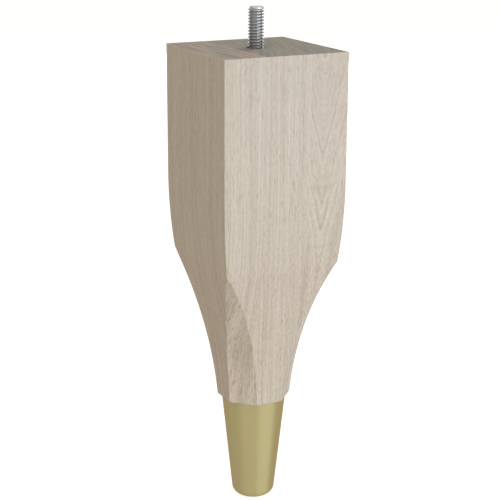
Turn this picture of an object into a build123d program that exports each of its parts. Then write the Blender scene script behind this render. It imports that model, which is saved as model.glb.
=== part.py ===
from build123d import *
import os
from math import atan2, cos, sqrt

# A wooden leg for a sofa, bed or cabinet, in three pieces.
#
# The wood is one square block of pale oak. Its four faces run plumb at the top, sweep
# in below, turn at a soft knee and hollow down to the foot. A large drum takes away
# each corner below the knee, so that the square ends as an octagon. That octagon seats
# on the rim of a closed brass ferrule, which is glued over a turned tenon. A hanger
# bolt is driven into the top: its lag half is in the wood, its machine half stands up
# and screws into the furniture.
#
# Millimetres, Z up. The origin is the middle of the foot, on the floor. The four broad
# faces look along +X, -X, +Y and -Y.

# Wood, overall
leg_height = 228.6  # floor to the top of the wood, 9 in
block_side = 63.5  # square top, 2-1/2 in
top_ease = 0.4  # small chamfer round the top

# Wood, the four broad faces
straight_length = 62.7  # plumb part, down from the top
knee_drop = 102.8  # top of the wood down to the knee
knee_inset = 2.44  # how far the convex sweep has come in at the knee
knee_rounding = 60.0  # softens the knee so that it shows no crease
hollow_radius = 382.7  # concave sweep from the knee to the shoulder
shoulder_flats = 33.76  # across opposite broad faces at the shoulder

# Wood, the four corner facets
drum_radius = 159.6  # drum that takes the corners away
drum_drop = 13.5  # its axis below the shoulder
shoulder_facets = 33.58  # across opposite corner facets at the shoulder

# Brass ferrule
ferrule_height = 55.0  # floor to the rim, where the shoulder of the wood seats
ferrule_rim = 32.1  # outer diameter at the rim
ferrule_toe = 20.6  # outer diameter of the cone carried down to the floor
ferrule_wall = 1.0
toe_rounding = 4.5  # round between the cone and the flat foot
glue_gap = 0.15  # between the tenon and the inside of the cone
tenon_tip_gap = 1.5  # between the end of the tenon and the ferrule's floor
tenon_tip_ease = 1.2

# Hanger bolt, 5/16-18 UNC by 2 in
bolt_length = 50.8
stud_height = 19.05  # machine thread above the wood, 3/4 in
stud_diameter = 7.94  # crest of the machine thread
stud_chamfer = 1.0
shank_diameter = 7.0  # plain blank between the two threads
lag_core = 5.8  # root diameter of the lag thread
point_length = 7.0
point_tip = 0.8  # diameter of the blunt tip

# Hole for the bolt
mouth_clearance = 0.1  # round the machine thread
mouth_depth = 6.35
drill_past = 3.0  # pilot hole beyond the tip of the bolt

# Levels and radii that follow
shoulder_z = ferrule_height
knee_z = leg_height - knee_drop
block_half = block_side / 2
cone_lean = (ferrule_rim - ferrule_toe) / 2 / ferrule_height  # radius gained per mm of height
bolt_tip_z = leg_height + stud_height - bolt_length


def broad_face_prism():
    """Side view of the wood, both edges, carried right through along Y."""
    shoulder = (shoulder_flats / 2, shoulder_z)
    knee = (block_half - knee_inset, knee_z)
    sweep_start = (block_half, leg_height - straight_length)
    top = (block_half, leg_height)

    hollow = RadiusArc(shoulder, knee, hollow_radius)
    sweep = TangentArc(sweep_start, knee, tangent=(0, -1))
    right = Curve() + [hollow, sweep, Line(sweep_start, top)]
    left = mirror(right, Plane.YZ)
    across_top = Line(top, (-top[0], top[1]))
    across_shoulder = Line(shoulder, (-shoulder[0], shoulder[1]))
    outline = make_face(Curve() + [right, left, across_top, across_shoulder])
    knees = outline.vertices().filter_by(lambda v: abs(v.Y - knee_z) < 0.001)
    outline = fillet(knees, knee_rounding)
    return extrude(Plane.XZ * outline, amount=block_half, both=True)


def corner_drum():
    """The drum that cuts one facet, lying across the +X direction."""
    distance = shoulder_facets / 2 + sqrt(drum_radius**2 - drum_drop**2)
    return Pos(distance, 0, shoulder_z - drum_drop) * Rot(90, 0, 0) * Cylinder(drum_radius, block_side)


def cone_radius(z, inset):
    """Radius at a height of the ferrule's cone, taken in by inset square to its wall."""
    return ferrule_toe / 2 + cone_lean * z - inset / cos(atan2(cone_lean, 1))


def cone_outline(inset, floor_z):
    """Half section of that cone, from floor_z up to the rim."""
    return Plane.XZ * make_face(
        Polyline(
            (0, floor_z),
            (cone_radius(floor_z, inset), floor_z),
            (cone_radius(ferrule_height, inset), ferrule_height),
            (0, ferrule_height),
            close=True,
        )
    )


def toe_corner(outline):
    """The outer bottom vertex of a cone outline."""
    return outline.vertices().group_by(Axis.Z)[0].sort_by(Axis.X)[-1]


def cup(inset):
    """Solid cone with a rounded toe, taken in by inset on the wall and on the foot."""
    outline = cone_outline(inset, inset)
    return revolve(fillet(toe_corner(outline), toe_rounding - inset), Axis.Z)


def make_ferrule():
    return cup(0) - cup(ferrule_wall)


def make_tenon():
    outline = cone_outline(ferrule_wall + glue_gap, ferrule_wall + tenon_tip_gap)
    return revolve(chamfer(toe_corner(outline), tenon_tip_ease), Axis.Z)


def bolt_hole():
    """Blind hole: a short mouth round the machine thread, then a pilot for the lag core."""
    mouth_radius = stud_diameter / 2 + mouth_clearance
    pilot_depth = leg_height - bolt_tip_z + drill_past
    mouth = Pos(0, 0, leg_height) * Cylinder(mouth_radius, 2 * mouth_depth)
    pilot = Pos(0, 0, leg_height) * Cylinder(lag_core / 2, 2 * pilot_depth)
    return mouth + pilot


def make_wood_leg():
    prism = broad_face_prism()
    wood = prism & Rot(0, 0, 90) * prism
    drum = corner_drum()
    for quarter in range(4):
        wood -= Rot(0, 0, 45 + 90 * quarter) * drum
    wood = chamfer(wood.faces().sort_by(Axis.Z)[-1].edges(), top_ease)
    return wood + make_tenon() - bolt_hole()


def make_hanger_bolt():
    """Crest cylinder of the stud, plain shank, lag core and point, turned as one blank."""
    stud_top = leg_height + stud_height
    stud_radius = stud_diameter / 2
    shank_end = leg_height - mouth_depth
    outline = make_face(
        Polyline(
            (0, bolt_tip_z),
            (point_tip / 2, bolt_tip_z),
            (lag_core / 2, bolt_tip_z + point_length),
            (lag_core / 2, shank_end),
            (shank_diameter / 2, shank_end),
            (shank_diameter / 2, leg_height),
            (stud_radius, leg_height),
            (stud_radius, stud_top - stud_chamfer),
            (stud_radius - stud_chamfer, stud_top),
            (0, stud_top),
            close=True,
        )
    )
    return revolve(Plane.XZ * outline, Axis.Z)


pieces = {
    "wood_leg": make_wood_leg(),
    "ferrule": make_ferrule(),
    "hanger_bolt": make_hanger_bolt(),
}

os.makedirs("parts", exist_ok=True)
for name, shape in pieces.items():
    export_step(shape, f"parts/{name}.step")
    print(f"{name}: {shape.volume / 1000:.2f} cm3")
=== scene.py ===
# %% [markdown]
# # A furniture leg in oak, brass and steel
#
# One leg for a sofa or a bed: a square block of pale oak that is swept in and cornered
# to an octagon, a tapered brass ferrule on its foot, and a hanger bolt out of its top.
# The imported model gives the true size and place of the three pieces. This lesson makes
# the surfaces that the eye meets: soft arrises, a real thread, grain, brass and zinc.

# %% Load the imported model
import bmesh
import bpy
import math
import numpy as np
from mathutils import Matrix, Vector


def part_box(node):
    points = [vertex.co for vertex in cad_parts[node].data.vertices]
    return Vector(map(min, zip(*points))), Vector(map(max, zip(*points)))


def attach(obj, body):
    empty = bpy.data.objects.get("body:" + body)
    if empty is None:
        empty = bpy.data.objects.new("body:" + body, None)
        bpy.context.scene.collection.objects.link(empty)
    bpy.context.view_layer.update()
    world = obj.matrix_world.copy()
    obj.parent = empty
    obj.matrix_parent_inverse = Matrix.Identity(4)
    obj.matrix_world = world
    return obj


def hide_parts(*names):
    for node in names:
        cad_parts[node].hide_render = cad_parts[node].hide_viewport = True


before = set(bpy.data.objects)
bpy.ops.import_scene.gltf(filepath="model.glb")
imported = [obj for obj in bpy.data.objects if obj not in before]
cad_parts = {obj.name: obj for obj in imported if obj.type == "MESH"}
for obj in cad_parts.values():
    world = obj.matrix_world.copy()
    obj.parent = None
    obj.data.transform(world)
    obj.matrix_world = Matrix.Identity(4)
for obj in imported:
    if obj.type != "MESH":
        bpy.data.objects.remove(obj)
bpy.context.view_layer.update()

mm = 0.001
wood_low, wood_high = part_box("wood_leg")
_, ferrule_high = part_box("ferrule")
bolt_low, bolt_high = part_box("hanger_bolt")
print("block", round(2 * wood_high.x / mm, 2), "mm square")
print("wood up to", round(wood_high.z / mm, 2), "mm")

# %% [markdown]
# ## Camera
#
# The photograph looks a little down on the leg, past its near left corner. The camera
# is written as a photographer would say it: how far round, how high, how far off, what
# it aims at, and the lens. The lens is long, so the plumb corners stay nearly parallel.

# %% Camera
view_azimuth = math.radians(-27.23)
view_elevation = math.radians(16.45)
view_roll = math.radians(0.33)
view_distance = 621.3 * mm
aim_right = -2.18 * mm
aim_height = 129.84 * mm

toward_camera = Vector((
    math.sin(view_azimuth) * math.cos(view_elevation),
    -math.cos(view_azimuth) * math.cos(view_elevation),
    math.sin(view_elevation),
))
level_right = Vector((0, 0, 1)).cross(toward_camera).normalized()
level_up = toward_camera.cross(level_right)
right = level_right * math.cos(view_roll) + level_up * math.sin(view_roll)
up = level_up * math.cos(view_roll) - level_right * math.sin(view_roll)
eye = Vector((0, 0, aim_height)) + level_right * aim_right + toward_camera * view_distance

camera_data = bpy.data.cameras.new("camera")
camera_data.sensor_width = 36.0
camera_data.lens = 91.37
camera_data.clip_start = 0.01
camera = bpy.data.objects.new("camera", camera_data)
turn = Matrix((right, up, toward_camera)).transposed().to_4x4()
camera.matrix_world = Matrix.Translation(eye) @ turn
bpy.context.scene.collection.objects.link(camera)
bpy.context.scene.camera = camera
print("camera at", [round(c / mm, 1) for c in eye], "mm")

# %% [markdown]
# ## Surfaces from rings
#
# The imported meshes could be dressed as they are, but they are loose triangles with hard
# edges, and light needs a soft edge to catch. So each piece is made anew as one closed
# skin. Its outline is walked from the middle of its underside, up its outside and back
# down inside any hollow, and every step of the walk is a ring of points round the axis.
# numpy works out all the rings at once, so a shape is a formula and not a list.
# Neighbouring rings are joined with four-sided faces, and the first and the last ring
# close on one middle point.

# %% Faces and pieces
def ring_faces(index):
    """Four-sided faces between neighbouring rings of point numbers, closed round the axis."""
    onward = np.roll(index, -1, axis=1)
    return np.stack([index[:-1], onward[:-1], onward[1:], index[1:]], axis=-1).reshape(-1, 4)


def fan(ring, middle, flip=False):
    """Triangles that close a ring of point numbers on one middle point."""
    onward = np.roll(ring, -1)
    order = (onward, ring) if flip else (ring, onward)
    return np.stack([*order, np.full(len(ring), middle)], axis=-1)


def new_piece(name, points, faces):
    """A mesh object from points in metres and from faces that list their point numbers."""
    mesh = bpy.data.meshes.new(name)
    mesh.from_pydata(points, [], faces)
    piece = bpy.data.objects.new(name, mesh)
    bpy.context.scene.collection.objects.link(piece)
    return piece

# %% Skin and its shading
def smooth_by_angle(piece, degrees):
    """Shades a piece smooth, but keeps each edge crisp that turns by more than the angle."""
    piece.data.shade_smooth()
    piece.data.set_sharp_from_angle(angle=math.radians(degrees))
    flats = piece.modifiers.new("even_flats", "WEIGHTED_NORMAL")
    flats.mode = "FACE_AREA"
    flats.weight = 100
    flats.keep_sharp = True


def skin(name, rings, crisp_degrees=40.0):
    """One closed skin over rings of shape (rings, points, 3), in metres.

    Points j and j + 1 of a ring and of the next ring make one face. The walk goes up the
    outside and each ring turns from +X to +Y, so every face looks outwards."""
    rows, columns = rings.shape[:2]
    index = np.arange(rows * columns).reshape(rows, columns)
    first, last = rows * columns, rows * columns + 1
    middles = [rings[0].mean(axis=0), rings[-1].mean(axis=0)]
    points = np.vstack([rings.reshape(-1, 3), middles])
    fans = np.vstack([fan(index[0], first, flip=True), fan(index[-1], last)])
    piece = new_piece(name, points.tolist(), ring_faces(index).tolist() + fans.tolist())
    piece.data.validate()
    smooth_by_angle(piece, crisp_degrees)
    print(name, "has", len(piece.data.vertices), "points and", len(piece.data.polygons), "faces")
    return piece

# %% [markdown]
# ## The oak leg
#
# A joiner saws the block square, sweeps its four sides to one pattern and then takes the
# four corners away on a big drum. So a level slice is an octagon that two curves set:
# how far out the broad faces lie, and how far out the corner facets lie. Where the drum
# hasn't reached the corner yet, only a sanded arris is left of the facet. Cubes and
# cylinders cut by Boolean modifiers would give the same block, but with ragged faces along
# the facets' long thin tips. Slices keep those tips clean.

# %% Sizes of the leg
straight_length = 62.7 * mm
knee_drop = 102.8 * mm
knee_inset = 2.44 * mm
knee_rounding = 60.0 * mm
hollow_radius = 382.7 * mm
shoulder_flats = 33.76 * mm
drum_radius = 159.6 * mm
drum_drop = 13.5 * mm
shoulder_facets = 33.58 * mm

top_z = wood_high.z
block_half = wood_high.x
shoulder_z = ferrule_high.z
sweep_z = top_z - straight_length
knee = np.array([block_half - knee_inset, top_z - knee_drop])
shoulder = np.array([shoulder_flats / 2, shoulder_z])
print("knee at", round(knee[1] / mm, 1), "mm, shoulder at", round(shoulder_z / mm, 1), "mm")

# %% Where the curves meet
def circle_through(start, end, radius):
    """Centre of the circle of that radius through two points, on the outer side of them."""
    middle, chord = (start + end) / 2, end - start
    length = np.hypot(*chord)
    outward = np.array([chord[1], -chord[0]]) / length
    return middle + outward * math.sqrt(radius**2 - length**2 / 4)


belly_radius = (knee_inset**2 + (sweep_z - knee[1]) ** 2) / (2 * knee_inset)
belly_centre = np.array([block_half - belly_radius, sweep_z])
hollow_centre = circle_through(shoulder, knee, hollow_radius)

# The rounding's centre lies (belly - rounding) from one centre and (hollow + rounding)
# from the other, so it is where those two circles cross.
between = hollow_centre - belly_centre
span = np.hypot(*between)
reach_belly, reach_hollow = belly_radius - knee_rounding, hollow_radius + knee_rounding
along = (span**2 + reach_belly**2 - reach_hollow**2) / (2 * span)
aside = math.sqrt(reach_belly**2 - along**2)
axis_way = between / span
knee_centre = belly_centre + along * axis_way + aside * np.array([-axis_way[1], axis_way[0]])
knee_top = belly_centre + (knee_centre - belly_centre) * belly_radius / reach_belly
knee_low = hollow_centre + (knee_centre - hollow_centre) * hollow_radius / reach_hollow
print("knee rounding from", round(knee_low[1] / mm, 1), "to", round(knee_top[1] / mm, 1), "mm")

# %% The two curves of the leg
def face_distance(z):
    """How far a broad face lies from the axis at height z: plumb, convex arc, knee, hollow."""
    belly = belly_centre[0] + np.sqrt(belly_radius**2 - (np.minimum(z, sweep_z) - sweep_z) ** 2)
    soft = knee_centre[0] + np.sqrt(np.maximum(knee_rounding**2 - (z - knee_centre[1]) ** 2, 0))
    hollow = hollow_centre[0] - np.sqrt(hollow_radius**2 - (z - hollow_centre[1]) ** 2)
    return np.where(z > knee_top[1], belly, np.where(z > knee_low[1], soft, hollow))


def facet_distance(z):
    """How far a corner facet lies from the axis at height z: the near side of the drum."""
    drum_z = shoulder_z - drum_drop
    drum_far = shoulder_facets / 2 + math.sqrt(drum_radius**2 - drum_drop**2)
    return drum_far - np.sqrt(np.maximum(drum_radius**2 - (z - drum_z) ** 2, 0))


print("faces lie", round(float(face_distance(knee[1])) / mm, 2), "mm out at the knee")

# %% Level slices of the leg
arris = 0.12 * mm
sanded = 0.2 * mm
# On a narrow facet a sanded corner takes up no more than this share of the width.
sanded_share = 0.4
# A tangent arc round a corner of 135 degrees passes this share of the way from the
# corner to the middle of the chord that cuts it off.
arc_share = 0.52
face_columns = 15
facet_columns = 5


def octagon(z, inset=0.0):
    """Rings of the leg at heights z, taken in by inset, with softened corners.

    A quarter of a ring runs along the face x = a from -b to b, round a corner, along
    the facet to (b, a) and round the next corner. The other quarters are turned copies."""
    z, inset = np.broadcast_arrays(np.asarray(z, float), inset)
    a = face_distance(z)
    b = np.minimum(math.sqrt(2) * facet_distance(z) - a, a - arris)
    b, a = b - inset * math.tan(math.pi / 8), a - inset
    width = math.sqrt(2) * (a - b)
    s = np.minimum(sanded, sanded_share * width)
    slant = s / math.sqrt(2)
    a, b, s, slant = (v[:, None] for v in (a, b, s, slant))
    t = np.linspace(-1, 1, face_columns)
    face_x, face_y = a + 0 * t, (b - s) * t
    u = np.linspace(0, 1, facet_columns)
    start_x, start_y = a - slant, b + slant
    facet_x, facet_y = start_x + (start_y - start_x) * u, start_y + (start_x - start_y) * u
    chord_x, chord_y = (a + start_x) / 2, (b - s + start_y) / 2
    corner_x, corner_y = a + arc_share * (chord_x - a), b + arc_share * (chord_y - b)
    x = np.hstack([face_x, corner_x, facet_x, corner_y])
    y = np.hstack([face_y, corner_y, facet_y, corner_x])
    quarters = [(x, y), (-y, x), (-x, -y), (y, -x)]
    around_x = np.hstack([q[0] for q in quarters])
    around_y = np.hstack([q[1] for q in quarters])
    return np.stack([around_x, around_y, np.broadcast_to(z[:, None], around_x.shape)], axis=-1)


print("a level slice has", octagon([sweep_z]).shape[1], "points")

# %% [markdown]
# ## Tenon and bolt hole
#
# The tenon is turned to the ferrule's taper with a little room for glue, and the hole is
# drilled wide at its mouth for the machine thread and narrow below for the lag thread.
# Both are hidden on the finished leg and could be left open, but a whole skin lets the leg
# be lifted out of its ferrule. All rings share one set of angles, those of the octagon's
# own points, so the round parts join the square ones face by face.

# %% Sizes of the tenon and the hole
ferrule_wall = 1.0 * mm
glue_gap = 0.15 * mm
# The ferrule's cone has this radius where it would meet the floor.
toe_radius = 20.6 / 2 * mm
rim_radius = ferrule_high.x
cone_lean = (rim_radius - toe_radius) / shoulder_z
tenon_low = wood_low.z
tenon_ease = 1.2 * mm
stud_radius = bolt_high.x
mouth_radius = stud_radius + 0.1 * mm
mouth_depth = 6.35 * mm
mouth_ease = 0.3 * mm
lag_core = 5.8 / 2 * mm
drill_past = 3.0 * mm
pilot_z = bolt_low.z - drill_past


def cone_radius(z, inset):
    """Radius of the ferrule's cone at height z, taken in by inset square to its wall."""
    return toe_radius + cone_lean * z - inset * math.hypot(1, cone_lean)


print("the cone leans", round(math.degrees(math.atan(cone_lean)), 2), "degrees")

# %% Sides of the leg
top_ease = 0.15 * mm
foot_ease = 0.2 * mm
# The top and the shoulder end in a hair's chamfer. Its rings stand in by these shares.
ease_in = np.array([1.0, 1 - math.cos(math.pi / 4)])
ease_out = ease_in[::-1]
# The rings stand close together where the drum leaves the corners and the knee turns.
close_low, close_high = 110 * mm, 134 * mm
side_levels = np.concatenate([
    np.linspace(shoulder_z + foot_ease, close_low, 60, endpoint=False),
    np.linspace(close_low, close_high, 60, endpoint=False),
    np.linspace(close_high, sweep_z, 24, endpoint=False),
    np.linspace(sweep_z, top_z - top_ease, 12),
])
sides = np.concatenate([
    octagon(shoulder_z + foot_ease * (1 - ease_in), foot_ease * ease_in),
    octagon(side_levels),
    octagon(top_z - top_ease * (1 - ease_out), top_ease * ease_out),
])
around = np.arctan2(sides[0, :, 1], sides[0, :, 0])
print("the sides are", len(sides), "rings")

# %% The leg as one skin
def circle_rings(radii, heights, angles):
    """Rings of a turned shape: ring i has radius radii[i] at heights[i]."""
    radii, heights = np.asarray(radii)[:, None], np.asarray(heights)[:, None]
    level = np.broadcast_to(heights, (len(radii), len(angles)))
    return np.stack([radii * np.cos(angles), radii * np.sin(angles), level], axis=-1)


tenon_inset = ferrule_wall + glue_gap
tenon_foot = cone_radius(tenon_low, tenon_inset)
tenon_side = cone_radius(tenon_low + tenon_ease, tenon_inset)
tenon_head = cone_radius(shoulder_z, tenon_inset)
tenon = circle_rings(
    [tenon_foot - tenon_ease, tenon_side, tenon_head],
    [tenon_low, tenon_low + tenon_ease, shoulder_z],
    around,
)
hole = circle_rings(
    [mouth_radius + mouth_ease, mouth_radius, mouth_radius, lag_core, lag_core],
    [top_z, top_z - mouth_ease, top_z - mouth_depth, top_z - mouth_depth, pilot_z],
    around,
)
oak_leg = skin("oak_leg", np.concatenate([tenon, sides, hole]))
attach(oak_leg, "root")
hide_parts("wood_leg")

# %% [markdown]
# ## The brass ferrule
#
# A drawn cup: a straight cone, a round toe and a flat foot, one millimetre thick. It is
# a turned shape, which a Screw modifier could spin from a profile. Circles for rings do
# the same with the helper that is already here. The rim is eased by a hair, which is what
# gives a thin line of light under the wood.

# %% The ferrule as one skin
toe_rounding = 4.5 * mm
rim_ease = 0.15 * mm
turns = np.linspace(0, 2 * np.pi, 144, endpoint=False)
wall_angle = math.atan(cone_lean)


def cup_outline(inset, steps):
    """Radii and heights from the flat foot, round the toe and up to where the cone starts.

    The toe is an arc that touches the floor and the cone. Its centre lies one radius from
    both, and the arc turns from straight down to square off the cone's wall."""
    radius = toe_rounding - inset
    centre_z = inset + radius
    centre_r = cone_radius(centre_z, inset) - radius * math.hypot(1, cone_lean)
    swing = np.linspace(-math.pi / 2, -wall_angle, steps)
    return centre_r + radius * np.cos(swing), centre_z + radius * np.sin(swing)


outer_r, outer_z = cup_outline(0.0, 16)
inner_r, inner_z = cup_outline(ferrule_wall, 12)
rim_in = cone_radius(shoulder_z, ferrule_wall)
rim_out = cone_radius(shoulder_z - rim_ease, 0.0) - rim_ease
wall_z = np.linspace(outer_z[-1], shoulder_z - rim_ease, 12)[1:]
wall_r = cone_radius(wall_z, 0.0)
ferrule_rings = circle_rings(
    np.concatenate([outer_r, wall_r, [rim_out, rim_in], inner_r[::-1]]),
    np.concatenate([outer_z, wall_z, [shoulder_z, shoulder_z], inner_z[::-1]]),
    turns,
)
brass_ferrule = skin("brass_ferrule", ferrule_rings)
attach(brass_ferrule, "root")
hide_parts("ferrule")

# %% [markdown]
# ## The hanger bolt
#
# A hanger bolt has two threads rolled on one blank: a fine machine thread for the nut
# above and a coarse lag thread for the wood below. Bump on a cylinder could draw the
# thread, but not the teeth that stand out at its sides, so it is real shape: a profile
# carried up a helix. Each row of the grid follows the helix, so the crests stay sharp from
# a few points: root, flank, crest, flank. What would run past an end of the thread is
# folded onto that end and welded, and the depth fades to the plain blank where the dies
# stopped.

# %% Thread surface
def thread_points(low, high, pitch, profile, radius_at, columns, turned=0.0):
    """Grid of a thread between two heights: rows follow the helix, columns go round.

    profile lists (share of the pitch, share of the depth). radius_at(z, depth share)
    gives the radius, with any taper, chamfer and fade. turned is the share of a turn by
    which the whole thread is screwed in."""
    steps, depths = np.array(profile).T
    steps = steps - turned
    starts = np.arange(-1, math.ceil((high - low) / pitch) + 2)
    rise = ((starts[:, None] + steps[None, :]) * pitch).ravel()
    depth = np.tile(depths, len(starts))
    angle = np.linspace(0, 2 * np.pi, columns, endpoint=False)
    z = np.clip(low + rise[:, None] + pitch * angle[None, :] / (2 * np.pi), low, high)
    radius = radius_at(z, depth[:, None])
    return np.stack([radius * np.cos(angle), radius * np.sin(angle), z], axis=-1)


def thread_faces(rows, columns, per_turn, offset):
    """Faces of that grid. The last column meets the first one turn higher up."""
    index = offset + np.arange(rows * columns).reshape(rows, columns)
    inner = np.stack([index[:-1, :-1], index[:-1, 1:], index[1:, 1:], index[1:, :-1]], axis=-1)
    low, high = index[: rows - 1 - per_turn, -1], index[1 : rows - per_turn, -1]
    seam = np.stack([low, index[per_turn : rows - 1, 0], index[per_turn + 1 :, 0], high], axis=-1)
    return np.vstack([inner.reshape(-1, 4), seam])

# %% Sizes of the bolt
# The machine thread has 18 turns to the inch and is 0.6134 of its pitch deep. It runs on
# a little into the bore, turned so that its crests stand where the photograph has them.
machine_pitch = 25.4 / 18 * mm
machine_root = stud_radius - 0.6134 * machine_pitch
machine_low = top_z - 1.6 * mm
machine_fade = 1.3 * mm
machine_turned = 0.4204
stud_chamfer = 1.0 * mm
blank_radius = 3.5 * mm
lag_pitch = 2.8 * mm
lag_crest = stud_radius
lag_high = top_z - mouth_depth
lag_fade = 4.0 * mm
point_length = 7.0 * mm
point_radius = 0.4 * mm
machine_profile = [(0.0, 0.0), (0.25, 0.0), (0.5625, 1.0), (0.6875, 1.0)]
lag_profile = [(0.0, 0.0), (0.56, 0.0), (0.76, 1.0), (0.82, 1.0)]
print("machine thread is", round((stud_radius - machine_root) / mm, 2), "mm deep")

# %% Radii of the two threads
def smoothstep(t):
    """0 below 0, 1 above 1, and the curve 3t^2 - 2t^3 between."""
    t = np.clip(t, 0, 1)
    return t * t * (3 - 2 * t)


def machine_radius(z, depth):
    """Rolled 60 degree thread: fades into the blank below, cut by the end chamfer above."""
    fade = smoothstep((z - machine_low) / machine_fade)
    thread = machine_root + (stud_radius - machine_root) * depth
    chamfer = stud_radius - stud_chamfer + (bolt_high.z - z)
    return np.minimum(blank_radius + fade * (thread - blank_radius), chamfer)


def lag_radius(z, depth):
    """Wide rooted wood thread, fading into the blank above. Below, its core is a cone to
    the point, and its crest is full a third of the way up that cone."""
    cone = np.clip((z - bolt_low.z) / point_length, 0, 1)
    core = point_radius + (lag_core - point_radius) * cone
    crest = core + (lag_crest - lag_core) * smoothstep(3 * cone)
    fade = smoothstep((lag_high - z) / lag_fade)
    thread = core + (crest - core) * depth
    return lag_core + fade * (thread - lag_core)

# %% Grids of the threads, the blank and the ends
bolt_columns = 64
lag = thread_points(bolt_low.z, lag_high, lag_pitch, lag_profile, lag_radius, bolt_columns)
machine = thread_points(
    machine_low,
    bolt_high.z,
    machine_pitch,
    machine_profile,
    machine_radius,
    bolt_columns,
    machine_turned,
)
blank_turn = np.linspace(0, 2 * np.pi, bolt_columns, endpoint=False)
blank = circle_rings(
    [lag_core, blank_radius, blank_radius], [lag_high, lag_high, machine_low], blank_turn
)
ends = circle_rings(
    [point_radius, stud_radius - stud_chamfer], [bolt_low.z, bolt_high.z], blank_turn
)
print("machine thread turns above the wood:", round((bolt_high.z - top_z) / machine_pitch, 1))

# %% Bolt mesh
grids = [lag, machine, blank, ends]
grid_starts = np.cumsum([0] + [len(grid) * bolt_columns for grid in grids])
lag_start, machine_start, blank_start, ends_start, middles_start = grid_starts.tolist()
blank_index = blank_start + np.arange(blank[..., 0].size).reshape(-1, bolt_columns)
end_index = ends_start + np.arange(ends[..., 0].size).reshape(-1, bolt_columns)
bolt_faces = [
    thread_faces(len(lag), bolt_columns, len(lag_profile), lag_start),
    thread_faces(len(machine), bolt_columns, len(machine_profile), machine_start),
    ring_faces(blank_index),
    fan(end_index[0], middles_start, flip=True),
    fan(end_index[1], middles_start + 1),
]
middles = [[0, 0, bolt_low.z], [0, 0, bolt_high.z]]
bolt_points = np.vstack([grid.reshape(-1, 3) for grid in grids] + [middles])
zinc_bolt = new_piece(
    "zinc_bolt", bolt_points.tolist(), [face for part in bolt_faces for face in part.tolist()]
)
print("bolt's grids have", len(bolt_points), "points")

# %% Weld the bolt
weld = 0.004 * mm
welded = bmesh.new()
welded.from_mesh(zinc_bolt.data)
bmesh.ops.remove_doubles(welded, verts=welded.verts, dist=weld)
bmesh.ops.dissolve_degenerate(welded, edges=welded.edges, dist=weld)
open_edges = sum(1 for edge in welded.edges if not edge.is_manifold)
bmesh.ops.recalc_face_normals(welded, faces=welded.faces)
welded.to_mesh(zinc_bolt.data)
welded.free()
smooth_by_angle(zinc_bolt, 30.0)
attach(zinc_bolt, "root")
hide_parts("hanger_bolt")
print("bolt has", len(zinc_bolt.data.polygons), "faces and", open_edges, "open edges")

# %% [markdown]
# ## Materials
#
# Nodes could be laid out by hand in the Shader Editor. Written down, each number can have
# its reason beside it. Colours are written as a paint chart gives them, in sRGB hex, and
# one function turns them to the linear values that light adds up in. One more function
# adds a node with its settings and links. In a Mix node, inputs 2 and 3 are the two
# numbers, 6 and 7 the two colours, and output 2 is the mixed colour.

# %% Colour
def linear(hex_colour):
    """sRGB hex to linear red, green, blue and alpha."""
    channels = [int(hex_colour[i : i + 2], 16) / 255 for i in (1, 3, 5)]
    return [c / 12.92 if c <= 0.04045 else ((c + 0.055) / 1.055) ** 2.4 for c in channels] + [1.0]


print("mid grey #808080 is", round(linear("#808080")[0], 3), "of white as light")

# %% Nodes and materials
def feed(socket, value):
    """Gives an input a plain value, or links it to an output or to a node's first output."""
    if isinstance(value, bpy.types.Node):
        value = value.outputs[0]
    if isinstance(value, bpy.types.NodeSocket):
        socket.id_data.links.new(value, socket)
    else:
        socket.default_value = value


def add(material, kind, inputs=None, **settings):
    """Adds a node, sets its settings, and fills or links its inputs by name or number."""
    node = material.node_tree.nodes.new("ShaderNode" + kind)
    for key, value in settings.items():
        setattr(node, key, value)
    for key, value in (inputs or {}).items():
        feed(node.inputs[key], value)
    return node


def new_material(name, surface_inputs):
    """A material with one Principled shader, its plain values set on the shader itself."""
    material = bpy.data.materials.new(name)
    material.use_nodes = True
    shader = material.node_tree.nodes["Principled BSDF"]
    for key, value in surface_inputs.items():
        feed(shader.inputs[key], value)
    return material, shader


def per_metre(*sizes_mm):
    """How many cells of each size in millimetres fit in a metre, for a Mapping's scale."""
    return [1000 / size for size in sizes_mm]


print("a metre holds", round(per_metre(0.8)[0]), "cells of 0.8 mm")

# %% [markdown]
# ## Oak, long grain
#
# White oak that was sanded and wiped with a thin matt whitewash: pale, dry, and drawn with
# fine dark lines where the open pores run. The blank is glued up from three boards, so
# the lines change their slant at two joints. A picture of wood could be wrapped round the
# leg, but it would stretch on the curves and break at the corners. So the pattern is
# solid, a function of x, y and z inside the block, and each curve that the saw and the
# drum cut shows its own figure.

# %% Oak: the three boards
oak, oak_shader = new_material("sanded_oak_whitewashed", {"Roughness": 0.72})
oak_coordinates = add(oak, "TexCoord")
oak_place = oak_coordinates.outputs["Object"]
# Fibres waver by under a millimetre over some centimetres of length.
oak_waver = (1.3 * mm, 1.3 * mm, 0)
waver_scale = add(oak, "Mapping", {"Vector": oak_place, "Scale": per_metre(13, 13, 75)})
waver = add(oak, "TexNoise", {"Vector": waver_scale, "Scale": 1.0, "Detail": 1.0})
grown = add(
    oak,
    "VectorMath",
    {0: waver.outputs["Color"], 1: oak_waver, 2: oak_place},
    operation="MULTIPLY_ADD",
)
grown_x, grown_y, grown_z = add(oak, "SeparateXYZ", {0: grown}).outputs
place_x, _, place_z = add(oak, "SeparateXYZ", {0: oak_place}).outputs
first_joint, second_joint = -10.6 * mm, 12.2 * mm
past_first = add(oak, "Math", {0: place_x, 1: first_joint}, operation="GREATER_THAN")
past_second = add(oak, "Math", {0: place_x, 1: second_joint}, operation="GREATER_THAN")
board_edges = np.array([-block_half, first_joint, second_joint, block_half])
print("boards are", np.round(np.diff(board_edges) / mm, 1).tolist(), "mm wide, from the left")

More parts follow.
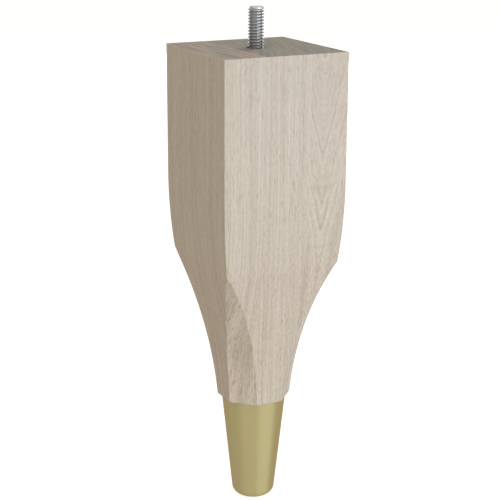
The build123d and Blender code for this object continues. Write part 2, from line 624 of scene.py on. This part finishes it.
# %% Oak: growth rings
# The first board's rings stand square to x. The second board's heart lies far to the left.
heart_place = (-190 * mm, 61 * mm, 0)
level_point = add(oak, "VectorMath", {0: grown, 1: (1, 1, 0)}, operation="MULTIPLY")
from_heart = add(oak, "VectorMath", {0: level_point, 1: heart_place}, operation="DISTANCE")

# A tree's yearly layers are nested cones. The third board was cut just in front of their
# axis, so its face shows them as hyperbolas, V shapes that point down. In millimetres,
# with d to the side of the axis, z = 3.8 sqrt(d^2 + 0.7^2). A share of their height matches
# the scale of the other boards' lines. Towards the knee they run over into straight lines.
v_middle = 19.6 * mm
v_blunt = 0.7 * mm
v_steep = 3.8
v_share = 0.15
v_low = 135 * mm
v_blend = 30 * mm
v_across = add(oak, "Math", {0: grown_x, 1: -v_middle}, operation="ADD")
v_point = add(oak, "CombineXYZ", {"X": v_across, "Y": v_blunt})
v_far = add(oak, "VectorMath", {0: v_point}, operation="LENGTH").outputs["Value"]
v_height = add(oak, "Math", {0: grown_z, 1: v_low, 2: v_blend}, operation="SMOOTH_MAX")
v_climb = add(oak, "Math", {0: v_height, 1: -v_share}, operation="MULTIPLY")
v_slope = v_steep * v_share
v_ring = add(oak, "Math", {0: v_far, 1: v_slope, 2: v_climb}, operation="MULTIPLY_ADD")
ring_left = add(oak, "Mix", {0: past_first, 2: grown_x, 3: from_heart.outputs["Value"]})
ring = add(oak, "Mix", {0: past_second, 2: ring_left, 3: v_ring})
heart_way = math.hypot(heart_place[0], heart_place[1])
print("the second board's heart is", round(heart_way / mm), "mm from the leg's axis")

# %% Oak: the two ways that a face can cut the boards
# Front, back and facets cut across the rings and show them as lines. The two side faces
# lie along the rings and show the rays and pores instead, which are lines in y. They lean
# by up to 15 degrees and the facets stand at 45, so the limit lies between.
side_limit = 0.85
normal_x, normal_y, _ = add(oak, "SeparateXYZ", {0: oak_coordinates.outputs["Normal"]}).outputs
sideways = add(oak, "Math", {0: normal_x}, operation="ABSOLUTE")
side_face = add(oak, "Math", {0: sideways, 1: side_limit}, operation="GREATER_THAN")
across = add(oak, "Mix", {0: side_face, 2: ring, 3: grown_y})
deep = add(oak, "Mix", {0: side_face, 2: grown_y, 3: grown_x})
cut_point = add(oak, "CombineXYZ", {"X": across, "Y": deep, "Z": grown_z})
print("a side face looks within", round(math.degrees(math.acos(side_limit))), "degrees of x")

# %% Oak: six patterns
# Each pattern is a noise: the size of its cells in millimetres across the rings, in depth
# and along the leg, then its detail, then a shift across the rings in cells.
patterns = {
    # Early and late wood: lines 0.8 mm across, long in depth and along the leg.
    "lines": ((0.8, 40, 140), 1.0, 0.0),
    # Bundles of fibres, 0.6 mm by 32 mm.
    "fibres": ((0.6, 12, 32), 1.0, 0.0),
    # Open pores: dashes 0.45 mm by 2 mm. Real ones are half as wide, too fine to show.
    "pores": ((0.45, 2, 2), 1.0, 0.0),
    # Slow change of tone through the board, 5 mm by 150 mm.
    "slow tone": ((5, 20, 150), 1.0, 0.0),
    # Vessels that the tool cut open lengthwise: sparse dark dashes, 0.5 mm by 5 mm.
    "vessels": ((0.5, 3, 5), 0.0, 0.0),
    # Growth rings that a slanting cut spreads into bands, 2.4 mm across. The shift puts a
    # dark one along the near facet's right edge.
    "bands": ((2.4, 12, 60), 0.0, 0.9),
}
noises = {}
for name, (cell_mm, detail, shift) in patterns.items():
    fitted = add(
        oak,
        "Mapping",
        {"Vector": cut_point, "Location": (shift, 0, 0), "Scale": per_metre(*cell_mm)},
    )
    noises[name] = add(oak, "TexNoise", {"Vector": fitted, "Scale": 1.0, "Detail": detail})
print("oak is drawn with", len(noises), "noises")

# %% Oak: tone of the long grain
# How deep a pattern is drawn. Each swings round one half, so the sum is taken back to it.
depths = {"lines": 0.95, "fibres": 0.5, "pores": 0.85, "slow tone": 0.1}
tone = 0.5 - sum(depths.values()) / 2
for name, depth in depths.items():
    tone = add(oak, "Math", {0: noises[name], 1: depth, 2: tone}, operation="MULTIPLY_ADD")
# The third board is a shade darker.
third_board = -0.04
tone = add(oak, "Math", {0: past_second, 1: third_board, 2: tone}, operation="MULTIPLY_ADD")
print("tone can swing by", round(sum(depths.values()) / 2, 2), "to either side of one half")

# %% Oak: facets
# The drum cuts the facets across the fibres, which spreads the rings into bands and opens
# the vessels. The facets are also painted lighter than the broad faces, as painted light.
# On a facet x and y of the normal are both large: their product is one half, and nothing
# on a broad face.
facet_from, facet_full = 0.3, 0.45
# The first number below lifts the facets' tone: painted light.
facet_painted_light, band_depth = 0.12, 1.1
dash_full, dash_none = 0.24, 0.34
dash_on_faces, dash_on_facets = 0.4, 1.1
both_ways = add(oak, "Math", {0: normal_x, 1: normal_y}, operation="MULTIPLY")
both_size = add(oak, "Math", {0: both_ways}, operation="ABSOLUTE")
on_facet = add(
    oak, "MapRange", {"Value": both_size, "From Min": facet_from, "From Max": facet_full}
)
# Bands of the drum's cut, plus the facets' painted light.
facet_bands_and_painted_light = add(
    oak,
    "Math",
    {0: noises["bands"], 1: band_depth, 2: facet_painted_light - band_depth / 2},
    operation="MULTIPLY_ADD",
)
tone = add(oak, "Math", {0: facet_bands_and_painted_light, 1: on_facet, 2: tone}, operation="MULTIPLY_ADD")
dashes = add(
    oak,
    "MapRange",
    {
        "Value": noises["vessels"],
        "From Min": dash_full,
        "From Max": dash_none,
        "To Min": -1.0,
        "To Max": 0.0,
    },
)
dash_depth = add(
    oak, "MapRange", {"Value": on_facet, "To Min": dash_on_faces, "To Max": dash_on_facets}
)
tone = add(oak, "Math", {0: dashes, 1: dash_depth, 2: tone}, operation="MULTIPLY_ADD")
print("dashes are", round(dash_on_facets / dash_on_faces, 2), "times as deep on a facet")

# %% Oak: wash and colour
# The wash is thinner towards the foot, so the figure is clearer there, and the drum's cut is
# clearer still. The colour is painted a little bluer at the top and warmer towards the
# foot: painted warm shade from the floor's bounce.
top_contrast, foot_contrast, facet_boost = 0.88, 1.2, 1.15
painted_top_tint, painted_foot_warmth = (1, 1, 1.02), (0.045, 0.012, -0.03)
down_leg = add(oak, "MapRange", {"Value": place_z, "From Min": top_z, "From Max": shoulder_z})
wash_contrast = add(
    oak, "MapRange", {"Value": down_leg, "To Min": top_contrast, "To Max": foot_contrast}
)
facet_contrast = add(oak, "MapRange", {"Value": on_facet, "To Min": 1.0, "To Max": facet_boost})
contrast = add(oak, "Math", {0: facet_contrast, 1: wash_contrast}, operation="MULTIPLY")
from_half = add(oak, "Math", {0: tone, 1: 0.5}, operation="SUBTRACT")
drawn = add(oak, "Math", {0: from_half, 1: contrast, 2: 0.5}, operation="MULTIPLY_ADD")
grain_colour = add(
    oak, "Mix", {0: drawn, 6: linear("#BDAD9D"), 7: linear("#DED4C7")}, data_type="RGBA"
)
# Painted shade: the colour is cooled at the top and warmed towards the foot.
painted_warm_shade = add(
    oak, "VectorMath", {0: down_leg, 1: painted_foot_warmth, 2: painted_top_tint}, operation="MULTIPLY_ADD"
)
oak_colour = add(oak, "VectorMath", {0: grain_colour.outputs[2], 1: painted_warm_shade}, operation="MULTIPLY")
feed(oak_shader.inputs["Base Color"], oak_colour)
# After sanding, pores and late wood stand a few hundredths of a millimetre apart.
oak_bump = add(oak, "Bump", {"Height": drawn, "Strength": 0.12, "Distance": 0.15 * mm})
feed(oak_shader.inputs["Normal"], oak_bump)
print("long grain has", len(oak.node_tree.nodes), "nodes")

# %% [markdown]
# ## Oak, end grain
#
# The sawn top drinks the wash, so it stays darker, and the rings show as arcs: brown late
# wood between grey bands of open pores. The long grain's fine lines would be too faint and
# too close here, so the end has a material of its own, on the rings of the same boards.

# %% Rings of the sawn end
sawn, sawn_shader = new_material("sawn_oak_end_grain", {"Roughness": 0.8})
sawn_place = add(sawn, "TexCoord").outputs["Object"]
sawn_waver = (2.0 * mm, 2.0 * mm, 0)
bend_scale = add(sawn, "Mapping", {"Vector": sawn_place, "Scale": per_metre(9, 9, 9)})
bend = add(sawn, "TexNoise", {"Vector": bend_scale, "Scale": 1.0, "Detail": 2.0})
bent = add(
    sawn,
    "VectorMath",
    {0: bend.outputs["Color"], 1: sawn_waver, 2: sawn_place},
    operation="MULTIPLY_ADD",
)
bent_x, bent_y, _ = add(sawn, "SeparateXYZ", {0: bent}).outputs
sawn_x = add(sawn, "SeparateXYZ", {0: sawn_place}).outputs["X"]
past_joint = add(sawn, "Math", {0: sawn_x, 1: first_joint}, operation="GREATER_THAN")
bent_level = add(sawn, "VectorMath", {0: bent, 1: (1, 1, 0)}, operation="MULTIPLY")
sawn_arcs = add(sawn, "VectorMath", {0: bent_level, 1: heart_place}, operation="DISTANCE")
sawn_ring = add(sawn, "Mix", {0: past_joint, 2: bent_x, 3: sawn_arcs.outputs["Value"]})
print("rings of the sawn end waver within", sawn_waver[0] / mm, "mm")

# %% Bands of the sawn end
# Soft bands, 2.0 mm across and 30 mm long, so that a ring comes and goes along its way.
band_point = add(sawn, "CombineXYZ", {"X": sawn_ring, "Y": bent_y})
band_scale = add(sawn, "Mapping", {"Vector": band_point, "Scale": per_metre(2.0, 30, 14)})
bands = add(sawn, "TexNoise", {"Vector": band_scale, "Scale": 1.0, "Detail": 1.0})
band_mix = add(sawn, "MapRange", {"Value": bands, "From Min": 0.33, "From Max": 0.66})
# The first board is the browner one, with the deeper bands.
first_end = add(
    sawn, "Mix", {0: band_mix, 6: linear("#B3A293"), 7: linear("#888680")}, data_type="RGBA"
)
other_ends = add(
    sawn, "Mix", {0: band_mix, 6: linear("#9B9185"), 7: linear("#82827C")}, data_type="RGBA"
)
boards = add(
    sawn,
    "Mix",
    {0: past_joint, 6: first_end.outputs[2], 7: other_ends.outputs[2]},
    data_type="RGBA",
)
print("end grain changes", round((first_joint + block_half) / mm, 1), "mm from the left")

# %% Streak and specks of the sawn end
# A light streak of sapwood, just left of the first joint, that fades out to either side.
streak_place, streak_reach, streak_depth = first_joint - 0.6 * mm, 1.5 * mm, 0.6
from_streak = add(sawn, "Math", {0: bent_x, 1: streak_place}, operation="SUBTRACT")
streak_way = add(sawn, "Math", {0: from_streak}, operation="ABSOLUTE")
streak = add(
    sawn,
    "MapRange",
    {"Value": streak_way, "From Max": streak_reach, "To Min": streak_depth, "To Max": 0.0},
)
streaked = add(
    sawn, "Mix", {0: streak, 6: boards.outputs[2], 7: linear("#B8A08C")}, data_type="RGBA"
)
# Broken pores: specks of 0.5 mm.
speck_scale = add(sawn, "Mapping", {"Vector": sawn_place, "Scale": per_metre(0.5, 0.5, 0.5)})
specks = add(sawn, "TexNoise", {"Vector": speck_scale, "Scale": 1.0, "Detail": 1.0})
speck_tone = add(sawn, "MapRange", {"Value": specks, "To Min": 0.86, "To Max": 1.14})
sawn_colour = add(
    sawn, "VectorMath", {0: streaked.outputs[2], "Scale": speck_tone}, operation="SCALE"
)
feed(sawn_shader.inputs["Base Color"], sawn_colour)
sawn_bump = add(sawn, "Bump", {"Height": specks, "Strength": 0.3, "Distance": 0.1 * mm})
feed(sawn_shader.inputs["Normal"], sawn_bump)
print("end grain has", len(sawn.node_tree.nodes), "nodes")

# %% [markdown]
# ## Oak, bored hole
#
# The bore is painted dark: painted shade inside the hole, which draws a dark line round
# the bolt. A dark ring painted on the top would do from afar, but a bore of its own dark
# material stays right from every side. Then each face of the leg gets its own material:
# long grain, sawn end and the bore's painted shade.

# %% Bored hole
bore, bore_shader = new_material("oak_bore_painted_shade", {"Roughness": 0.9})
bore_place = add(bore, "TexCoord").outputs["Object"]
# Drill marks: rings 0.4 mm apart down the bore.
bore_scale = add(bore, "Mapping", {"Vector": bore_place, "Scale": per_metre(4, 4, 0.4)})
bore_marks = add(bore, "TexNoise", {"Vector": bore_scale, "Scale": 1.0, "Detail": 1.0})
# The bore's two dark browns are painted shade for the gap round the bolt's foot.
bore_painted_shade = add(
    bore, "Mix", {0: bore_marks, 6: linear("#2E2722"), 7: linear("#4B4038")}, data_type="RGBA"
)
feed(bore_shader.inputs["Base Color"], bore_painted_shade.outputs[2])
print("bore is", round((top_z - pilot_z) / mm, 1), "mm deep")

# %% Which oak each face shows
long_grain, end_grain, bored_wood = range(3)
for cut in (oak, sawn, bore):
    oak_leg.data.materials.append(cut)
leg_faces = oak_leg.data.polygons
normals, centres = np.empty(len(leg_faces) * 3), np.empty(len(leg_faces) * 3)
leg_faces.foreach_get("normal", normals)
leg_faces.foreach_get("center", centres)
# A face that looks straight up or down was cut across the grain. Faces are told by their
# middles, with a tenth of a millimetre to spare.
end_limit = 0.95
spare = 0.1 * mm
cut_across = np.abs(normals.reshape(-1, 3)[:, 2]) > end_limit
centre_x, centre_y, centre_z = centres.reshape(-1, 3).T
within_mouth = np.hypot(centre_x, centre_y) < mouth_radius + mouth_ease
bored = within_mouth & (centre_z > pilot_z - spare) & (centre_z < top_z - spare)
kinds = np.where(bored, bored_wood, np.where(cut_across, end_grain, long_grain))
leg_faces.foreach_set("material_index", kinds.astype(np.int32))
print(int(cut_across.sum()), "of", len(leg_faces), "faces cross the grain")
print(int(bored.sum()), "faces are the bore")

# %% [markdown]
# ## Brass
#
# The ferrule is drawn from brass sheet and brushed on the lathe. The fine marks run round
# it and spread a reflection across themselves, so a lamp shows as a tall soft band. Each
# mark could be bump, but they are finer than a pixel. The shader's Anisotropic gives their
# sum, turned a quarter so that it stretches up and down.

# %% Brass
brass, brass_shader = new_material("brushed_brass", {
    "Base Color": linear("#A69B71"),
    "Metallic": 1.0,
    "Specular Tint": linear("#DCC6C4"),
    "Anisotropic": 0.9,
    "Anisotropic Rotation": 0.25,
})
brass_place = add(brass, "TexCoord").outputs["Object"]
# Lathe brushing: rings round the cup, drawn 0.5 mm high because real ones are too fine.
brush_scale = add(brass, "Mapping", {"Vector": brass_place, "Scale": per_metre(40, 40, 0.5)})
brushing = add(brass, "TexNoise", {"Vector": brush_scale, "Scale": 1.0, "Detail": 2.0})
brushed = add(brass, "MapRange", {"Value": brushing, "To Min": 0.43, "To Max": 0.49})
feed(brass_shader.inputs["Roughness"], brushed)
brass_ferrule.data.materials.append(brass)
print("brass has", len(brass.node_tree.nodes), "nodes")

# %% [markdown]
# ## Zinc
#
# The bolt is steel wire, zinc plated: a cooler, harder shine than brass. Its threads are
# rolled, so their fine marks run round it too. The plating could be drawn as spots of
# another grey, but it differs from place to place in how sharply it mirrors more than in
# its colour, so soft clouds change the roughness alone.

# %% Zinc
zinc, zinc_shader = new_material("zinc_plated_steel", {
    "Base Color": linear("#989896"),
    "Metallic": 1.0,
    "Anisotropic": 0.4,
    "Anisotropic Rotation": 0.25,
})
zinc_place = add(zinc, "TexCoord").outputs["Object"]
# Plating is a little cloudy, in patches of about 1 mm.
cloud_scale = add(zinc, "Mapping", {"Vector": zinc_place, "Scale": per_metre(1.2, 1.2, 1.2)})
clouds = add(zinc, "TexNoise", {"Vector": cloud_scale, "Scale": 1.0, "Detail": 2.0})
plated = add(zinc, "MapRange", {"Value": clouds, "To Min": 0.24, "To Max": 0.36})
feed(zinc_shader.inputs["Roughness"], plated)
zinc_bolt.data.materials.append(zinc)
print("materials:", [material.name for material in bpy.data.materials])

# %% [markdown]
# ## Studio
#
# A pale floor, a white surround and soft boxes. One bright surround could do it all, but
# it would light every face alike and flatten the leg. So the surround is white only to the
# camera and to mirror rays, and dimmer as a light, and boxes light each side at its own
# level.

# %% Floor
# The floor reaches this many metres to each side.
reach = 8.0
corners = [(-reach, -reach, 0), (reach, -reach, 0), (reach, reach, 0), (-reach, reach, 0)]
floor = new_piece("floor", corners, [(0, 1, 2, 3)])
paper, paper_shader = new_material("pale_paper_floor", {
    "Base Color": linear("#C2BFB6"),
    "Roughness": 0.9,
    "Specular IOR Level": 0.1,
    "Emission Color": linear("#FFFFFF"),
})
floor.data.materials.append(paper)
print("floor is", 2 * reach, "m square")

# %% Glow of the floor
# The glow is written for the camera and for mirror rays alone, and grows with distance in
# metres, so the far floor runs into the white surround and the leg keeps a faint shadow.
near_glow, far_glow = 0.79, 0.89
glow_from, glow_to = 0.3, 1.2
paper_place = add(paper, "TexCoord").outputs["Object"]
from_leg = add(paper, "VectorMath", {0: paper_place}, operation="LENGTH").outputs["Value"]
glow = add(
    paper,
    "MapRange",
    {
        "Value": from_leg,
        "From Min": glow_from,
        "From Max": glow_to,
        "To Min": near_glow,
        "To Max": far_glow,
    },
    interpolation_type="SMOOTHSTEP",
)
paper_rays = add(paper, "LightPath").outputs
seen = add(
    paper,
    "Math",
    {0: paper_rays["Is Camera Ray"], 1: paper_rays["Is Glossy Ray"]},
    operation="MAXIMUM",
)
seen_glow = add(paper, "Math", {0: seen, 1: glow}, operation="MULTIPLY")
feed(paper_shader.inputs["Emission Strength"], seen_glow)
print("floor glows at", near_glow, "by the leg and at", far_glow, "far off")

# %% Surround
surround = bpy.data.worlds.new("white_surround")
surround.use_nodes = True
bpy.context.scene.world = surround
surround_light = 0.2
background = surround.node_tree.nodes["Background"]
world_rays = add(surround, "LightPath").outputs
camera_or_gloss = add(
    surround,
    "Math",
    {0: world_rays["Is Camera Ray"], 1: world_rays["Is Glossy Ray"]},
    operation="MAXIMUM",
)
to_the_eye = add(
    surround,
    "Math",
    {0: camera_or_gloss, 1: world_rays["Is Transmission Ray"]},
    operation="MAXIMUM",
)
strength = add(
    surround, "MapRange", {"Value": to_the_eye, "To Min": surround_light, "To Max": 1.0}
)
feed(background.inputs["Strength"], strength)
# As a light, the surround is the warm bounce of a room. To the eye it is white.
surround_colour = add(
    surround, "Mix", {0: to_the_eye, 6: linear("#FFEAB2"), 7: linear("#FFFFFF")}, data_type="RGBA"
)
feed(background.inputs["Color"], surround_colour.outputs[2])
print("surround lights at", surround_light, "of white")

# %% Soft boxes
def soft_box(name, azimuth, elevation, distance, width, height, watts, colour):
    """An area light that looks at the middle of the leg. Azimuth 0 is straight in front
    of the -Y face, and grows to the right. Angles are in degrees, lengths in metres."""
    lamp = bpy.data.lights.new(name, "AREA")
    lamp.shape = "RECTANGLE"
    lamp.size, lamp.size_y = width, height
    lamp.energy = watts
    lamp.color = linear(colour)[:3]
    box = bpy.data.objects.new(name, lamp)
    a, e = math.radians(azimuth), math.radians(elevation)
    way = Vector((math.sin(a) * math.cos(e), -math.cos(a) * math.cos(e), math.sin(e)))
    box.location = Vector((0, 0, aim_height)) + way * distance
    box.rotation_euler = way.to_track_quat("Z", "Y").to_euler()
    bpy.context.scene.collection.objects.link(box)
    print(name, "at", [round(c, 2) for c in box.location])


soft_box("key_box", 22.0, 7.5, 0.85, 1.1, 0.5, 5.22, "#E5F1FF")
soft_box("fill_box", -48.0, 21.0, 1.6, 2.0, 1.8, 11.75, "#F7F9FA")
soft_box("top_box", -60.0, 72.0, 1.6, 1.0, 1.0, 3.2, "#FFFFFF")
soft_box("back_box", 122.0, 62.0, 1.5, 0.45, 0.8, 6.0, "#FFFFFF")
# A strip behind, no higher than the leg, lights the back faces and leaves the sawn end alone.
soft_box("rear_box", 140.0, -0.5, 1.6, 1.6, 0.22, 6.5, "#FFF8F0")

# %% [markdown]
# ## Finish
#
# Standard shows the colours as they were written. Other view transforms are made for
# bright scenes and would grey the white paper.

# %% Finish
bpy.context.scene.view_settings.view_transform = "Standard"
bpy.context.view_layer.update()
